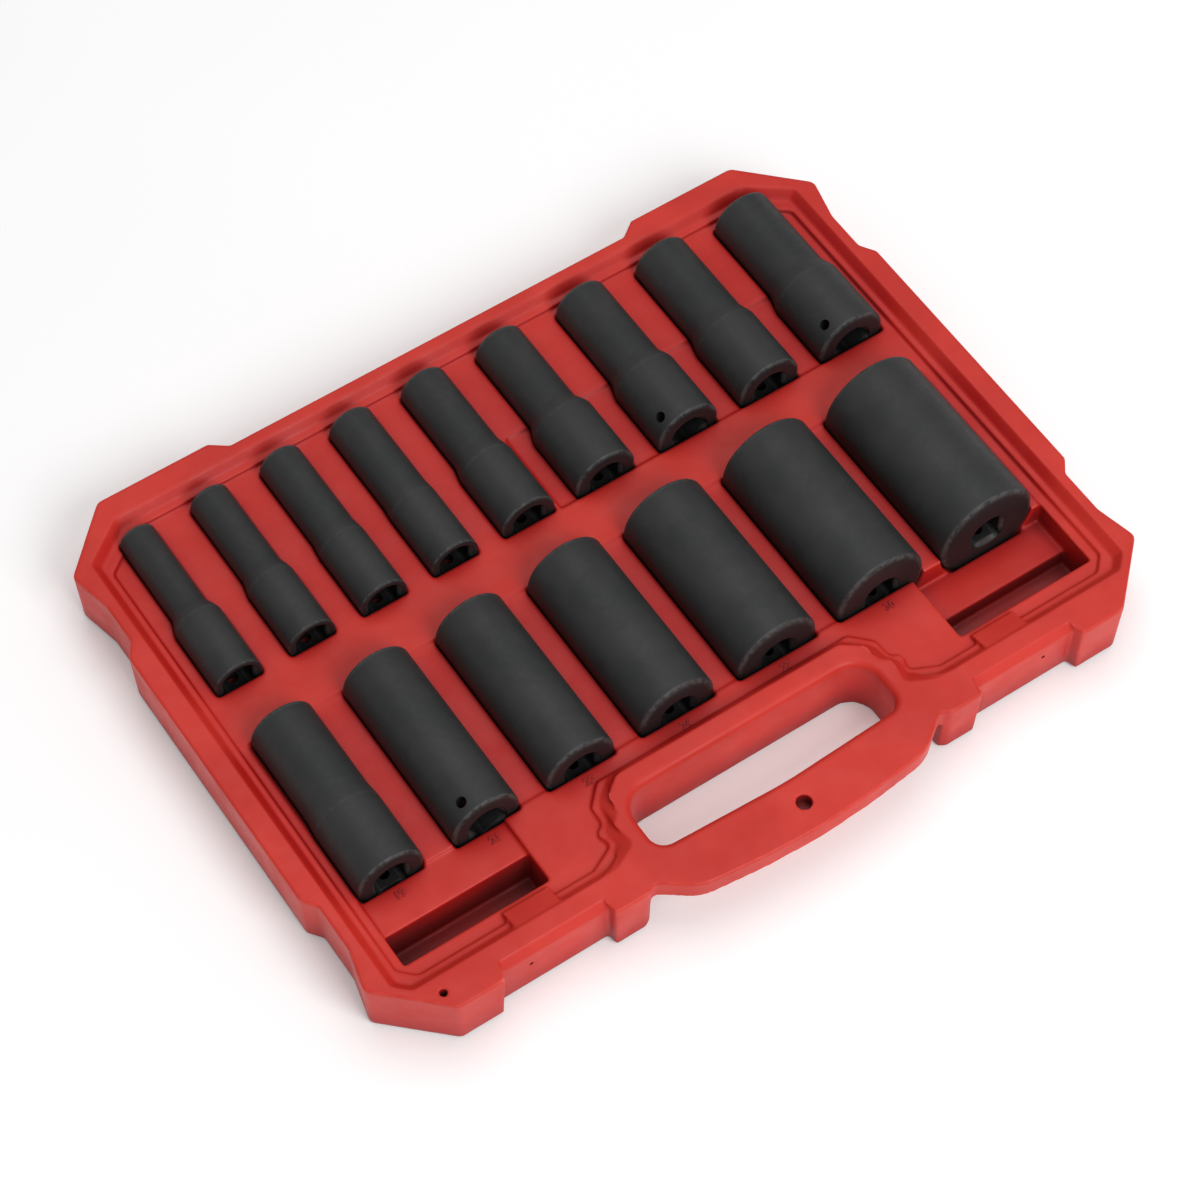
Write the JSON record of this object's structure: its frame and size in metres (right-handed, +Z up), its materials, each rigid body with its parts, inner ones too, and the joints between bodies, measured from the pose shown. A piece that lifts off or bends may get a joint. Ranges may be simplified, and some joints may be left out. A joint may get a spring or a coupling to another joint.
{
  "type": "socket set in case",
  "caption": "Red moulded carry case base with a sunk tray whose seats hold two rows of black deep impact sockets, square drive at one end and hexagon at the other.",
  "frame": {"origin": "under the middle of the case's overall width and depth, on the surface that it rests on", "axes": "+X along the case's width, from the smallest sockets to the largest; +Y from the carry handle towards the hinge side; +Z up, out of the open tray"},
  "size_m": [0.3486, 0.272, 0.0458],
  "materials": {
    "case_plastic": "blow-moulded red polyethylene, matt and slightly soft-edged",
    "black_steel": "matt black phosphated and oiled steel, slightly brighter on worn edges"
  },
  "bodies": {
    "case": {"case_base": "case_plastic"},
    "socket_10": {"socket_10mm": "black_steel"},
    "socket_11": {"socket_11mm": "black_steel"},
    "socket_12": {"socket_12mm": "black_steel"},
    "socket_13": {"socket_13mm": "black_steel"},
    "socket_14": {"socket_14mm": "black_steel"},
    "socket_15": {"socket_15mm": "black_steel"},
    "socket_16": {"socket_16mm": "black_steel"},
    "socket_17": {"socket_17mm": "black_steel"},
    "socket_18": {"socket_18mm": "black_steel"},
    "socket_19": {"socket_19mm": "black_steel"},
    "socket_21": {"socket_21mm": "black_steel"},
    "socket_22": {"socket_22mm": "black_steel"},
    "socket_24": {"socket_24mm": "black_steel"},
    "socket_27": {"socket_27mm": "black_steel"},
    "socket_30": {"socket_30mm": "black_steel"},
    "socket_32": {"socket_32mm": "black_steel"}
  },
  "joints": [
    {"name": "lift_10", "type": "slide", "parent": "case", "child": "socket_10", "axis": [0, 0, 1], "range_m": [0, 0.06]},
    {"name": "lift_11", "type": "slide", "parent": "case", "child": "socket_11", "axis": [0, 0, 1], "range_m": [0, 0.06]},
    {"name": "lift_12", "type": "slide", "parent": "case", "child": "socket_12", "axis": [0, 0, 1], "range_m": [0, 0.06]},
    {"name": "lift_13", "type": "slide", "parent": "case", "child": "socket_13", "axis": [0, 0, 1], "range_m": [0, 0.06]},
    {"name": "lift_14", "type": "slide", "parent": "case", "child": "socket_14", "axis": [0, 0, 1], "range_m": [0, 0.06]},
    {"name": "lift_15", "type": "slide", "parent": "case", "child": "socket_15", "axis": [0, 0, 1], "range_m": [0, 0.06]},
    {"name": "lift_16", "type": "slide", "parent": "case", "child": "socket_16", "axis": [0, 0, 1], "range_m": [0, 0.06]},
    {"name": "lift_17", "type": "slide", "parent": "case", "child": "socket_17", "axis": [0, 0, 1], "range_m": [0, 0.06]},
    {"name": "lift_18", "type": "slide", "parent": "case", "child": "socket_18", "axis": [0, 0, 1], "range_m": [0, 0.06]},
    {"name": "lift_19", "type": "slide", "parent": "case", "child": "socket_19", "axis": [0, 0, 1], "range_m": [0, 0.06]},
    {"name": "lift_21", "type": "slide", "parent": "case", "child": "socket_21", "axis": [0, 0, 1], "range_m": [0, 0.06]},
    {"name": "lift_22", "type": "slide", "parent": "case", "child": "socket_22", "axis": [0, 0, 1], "range_m": [0, 0.06]},
    {"name": "lift_24", "type": "slide", "parent": "case", "child": "socket_24", "axis": [0, 0, 1], "range_m": [0, 0.06]},
    {"name": "lift_27", "type": "slide", "parent": "case", "child": "socket_27", "axis": [0, 0, 1], "range_m": [0, 0.06]},
    {"name": "lift_30", "type": "slide", "parent": "case", "child": "socket_30", "axis": [0, 0, 1], "range_m": [0, 0.06]},
    {"name": "lift_32", "type": "slide", "parent": "case", "child": "socket_32", "axis": [0, 0, 1], "range_m": [0, 0.06]}
  ]
}
